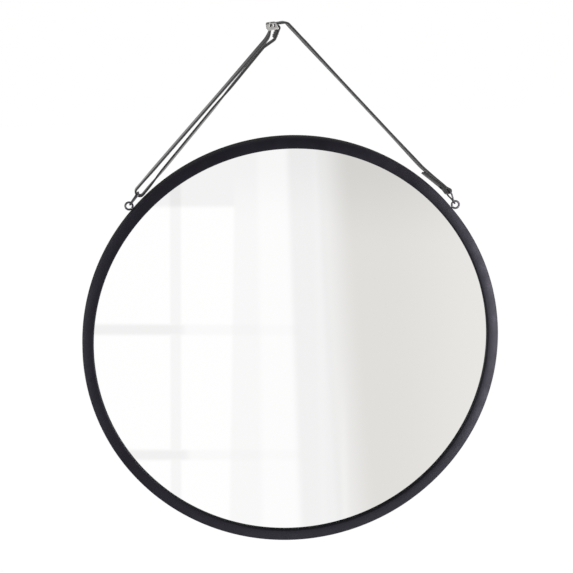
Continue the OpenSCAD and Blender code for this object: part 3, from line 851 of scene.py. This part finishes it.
# Floor and world. A plain pale floor far below the mirror, and a white room around it: white to
# the camera, and a plain soft level of light on the object and in its reflections.
def pale(material_name, level, lit):
    """White to the camera at the given level, and plain matt for the rest."""
    material = bpy.data.materials.new(material_name)
    material.use_nodes = True
    tree = material.node_tree
    tree.nodes.clear()
    seen = add_node(tree, "ShaderNodeLightPath").outputs["Is Camera Ray"]
    share = add_node(tree, "ShaderNodeMath", {0: seen, 1: lit}, operation="MULTIPLY")
    matt = add_node(tree, "ShaderNodeBsdfDiffuse", {"Color": (0.86, 0.86, 0.86, 1)})
    glow = add_node(tree, "ShaderNodeEmission", {"Color": (1, 1, 1, 1), "Strength": level})
    mix = add_node(tree, "ShaderNodeMixShader", {0: share.outputs[0], 1: matt.outputs[0],
                                                 2: glow.outputs[0]})
    out = add_node(tree, "ShaderNodeOutputMaterial")
    tree.links.new(mix.outputs[0], out.inputs["Surface"])
    return material


FLOOR_Z = -2150.0
FLOOR_HALF = 12000
span = np.linspace(-FLOOR_HALF, FLOOR_HALF, 13)
gx, gy = np.meshgrid(span, span, indexing="ij")
floor = piece("floor", skin("floor", np.stack([gx, gy, FLOOR_Z + 0 * gx], -1), False, False),
              [pale("pale_floor", 1.06, 0.9)])

world = bpy.data.worlds.new("soft_white_room")
bpy.context.scene.world = world
world.use_nodes = True
tree = world.node_tree
seen = add_node(tree, "ShaderNodeLightPath")
direct = add_node(tree, "ShaderNodeMath", {
    0: seen.outputs["Is Camera Ray"], 1: seen.outputs["Is Transmission Ray"]}, operation="MAXIMUM")
level = add_node(tree, "ShaderNodeMapRange", {
    "Value": direct.outputs[0], "To Min": 0.6, "To Max": 1.0})
background = tree.nodes["Background"]
background.inputs["Color"].default_value = (1, 1, 1, 1)
tree.links.new(level.outputs[0], background.inputs["Strength"])


# Room in front of the mirror. One big card stands where a window, a sheer curtain and a plain
# wall would be, and fades into the room's own level at its rim, so that the glass has them to
# reflect. Only reflections see it.
CARD_Y = -3214.0
CARD_MIDDLE = -1280.0
ROOM_LEVEL = 0.56
CARD_GLOW = 1.07


def soft_bar(value, centre, half, blur):
    """1 inside a bar and 0 outside it, with blurred edges."""
    return 1 - ramp(np.abs(value - centre), half - blur, half + blur)


# The card's grid is fine where the glass shows it in the picture, and coarse beyond.
cx, cz = np.meshgrid(
    np.concatenate([
        np.linspace(-2400, -620, 20), np.linspace(-560, 1120, 561), np.linspace(1180, 3000, 20)]),
    np.concatenate([np.linspace(-2080, -480, 321), np.linspace(-440, 1500, 30)]), indexing="ij")
card_mesh = skin("room_card", np.stack([cx, CARD_Y + 0 * cx, cz], -1), False, False)
drop = cz - CARD_MIDDLE

# The window has bright panes, one upright bar, two rails that fade behind the curtain, and a duller
# strip above the panes. All of it leans a little, as the glass shows it from the side.
window = 1 - ramp(cx - 0.043 * drop, 134, 148)
pane_top = ramp(cz, -896 - 0.043 * cx, -880 - 0.043 * cx)
upright = soft_bar(cx - 0.034 * drop, -17, 15, 5)
rail = np.maximum(soft_bar(cz, -1237 - 0.051 * cx, 15, 6), soft_bar(cz, -1604 - 0.055 * cx, 15, 6))
faint = 0.35 + 0.65 * (1 - ramp(cx, -10, 20))
glow = 1.0 - np.maximum(0.07 * upright, 0.115 * rail * faint) - 0.1 * pane_top

# The curtain is a little darker than the panes, with soft folds that spread towards the floor.
fold = cx - (0.03 - 0.00027 * (cx - 150)) * drop
folds = (0.945 + 0.035 * soft_bar(fold, 264, 45, 12) - 0.058 * ramp(fold, 304, 328)
         + 0.012 * soft_bar(cx, 388, 10, 9) - 0.02 * soft_bar(fold, 412, 9, 8)
         + 0.035 * soft_bar(cx, 452, 9, 9) * (1 - ramp(cz, -1560, -1330))
         - 0.02 * rail * (1 - ramp(cx, 300, 345)) - 0.05 * ramp(cz, -960, -760))

# The wall is a warm grey, lighter on the right and darker at the top.
wall_tone = 0.752 + 0.065 * ramp(cx, 560, 900) - 0.09 * ramp(cz, -1050, -760)
on_plain_wall = ramp(fold, 392, 512)
tone = glow * window + folds * (1 - window)
tone = tone * (1 - on_plain_wall) + wall_tone * on_plain_wall
lit_part = (1 - ramp(cz, -460, 700)) * ramp(cx, -1900, -560) * (1 - ramp(cx, 1120, 2600))
tone = tone * lit_part + ROOM_LEVEL * (1 - lit_part)
shade = np.stack([tone, tone * (1 - 0.015 * on_plain_wall), tone * (1 - 0.042 * on_plain_wall),
                  np.ones_like(tone)], -1)
card_mesh.color_attributes.new("room_tone", "FLOAT_COLOR", "POINT").data.foreach_set(
    "color", shade.astype(np.float32).ravel())
room = bpy.data.materials.new("room_seen_in_glass")
room.use_nodes = True
tree = room.node_tree
tree.nodes.clear()
tone_node = add_node(tree, "ShaderNodeAttribute", attribute_name="room_tone")
glow_node = add_node(tree, "ShaderNodeEmission", {
    "Color": tone_node.outputs["Color"], "Strength": CARD_GLOW})
out = add_node(tree, "ShaderNodeOutputMaterial")
tree.links.new(glow_node.outputs[0], out.inputs["Surface"])
card = piece("room_card", card_mesh, [room])
card.visible_camera = False
card.visible_shadow = False
card.visible_diffuse = False
card.visible_transmission = False


# Lamps. Two tall soft boxes in front, to the right and to the left, and a weak low one. The right
# one is the strongest, and none stands where the glass would show it.
def soft_box(name, spot, size, power):
    """A rectangular lamp that faces the mirror's centre, with places in metres."""
    lamp = bpy.data.lights.new(name, "AREA")
    lamp.shape, lamp.size, lamp.size_y, lamp.energy = "RECTANGLE", size[0], size[1], power
    holder = bpy.data.objects.new(name, lamp)
    bpy.context.scene.collection.objects.link(holder)
    holder.location = spot
    facing = Vector((0, 0, -0.4)) - Vector(spot)
    holder.rotation_mode = "QUATERNION"
    holder.rotation_quaternion = facing.to_track_quat("-Z", "Y")


soft_box("right_box", (1.7, -2.6, -1.05), (0.9, 1.8), 76)
soft_box("left_box", (-1.35, -2.7, -0.95), (0.6, 1.6), 16)
soft_box("low_box", (0.3, -1.9, -2.0), (1.6, 0.7), 8)


# Camera. It stands above and a little to the left of the mirror's axis, 2.5 m away, and is turned
# about its own axis as the photograph's is. The shift is the photograph's framing.
PICTURE = 573
FOCAL = 2090
SENSOR = 36
STAND_OFF = 2.5
toward = np.array([-0.0922, -0.9577, 0.2726])
rightward = np.array([0.9946, -0.1017, -0.0211])
toward /= np.linalg.norm(toward)
rightward -= toward * (rightward @ toward)
rightward /= np.linalg.norm(rightward)
upward = np.cross(toward, rightward)
lens = bpy.data.cameras.new("camera")
lens.lens, lens.sensor_width = SENSOR * FOCAL / PICTURE, SENSOR
lens.shift_x, lens.shift_y = -5.8 / PICTURE, 57.9 / PICTURE
camera = bpy.data.objects.new("camera", lens)
bpy.context.scene.collection.objects.link(camera)
turned = np.eye(4)
turned[:3, 0], turned[:3, 1], turned[:3, 2] = rightward, upward, toward
turned[:3, 3] = CENTRE * MM + STAND_OFF * toward
camera.matrix_world = Matrix(turned.tolist())
bpy.context.scene.camera = camera
bpy.context.scene.view_settings.view_transform = "Standard"
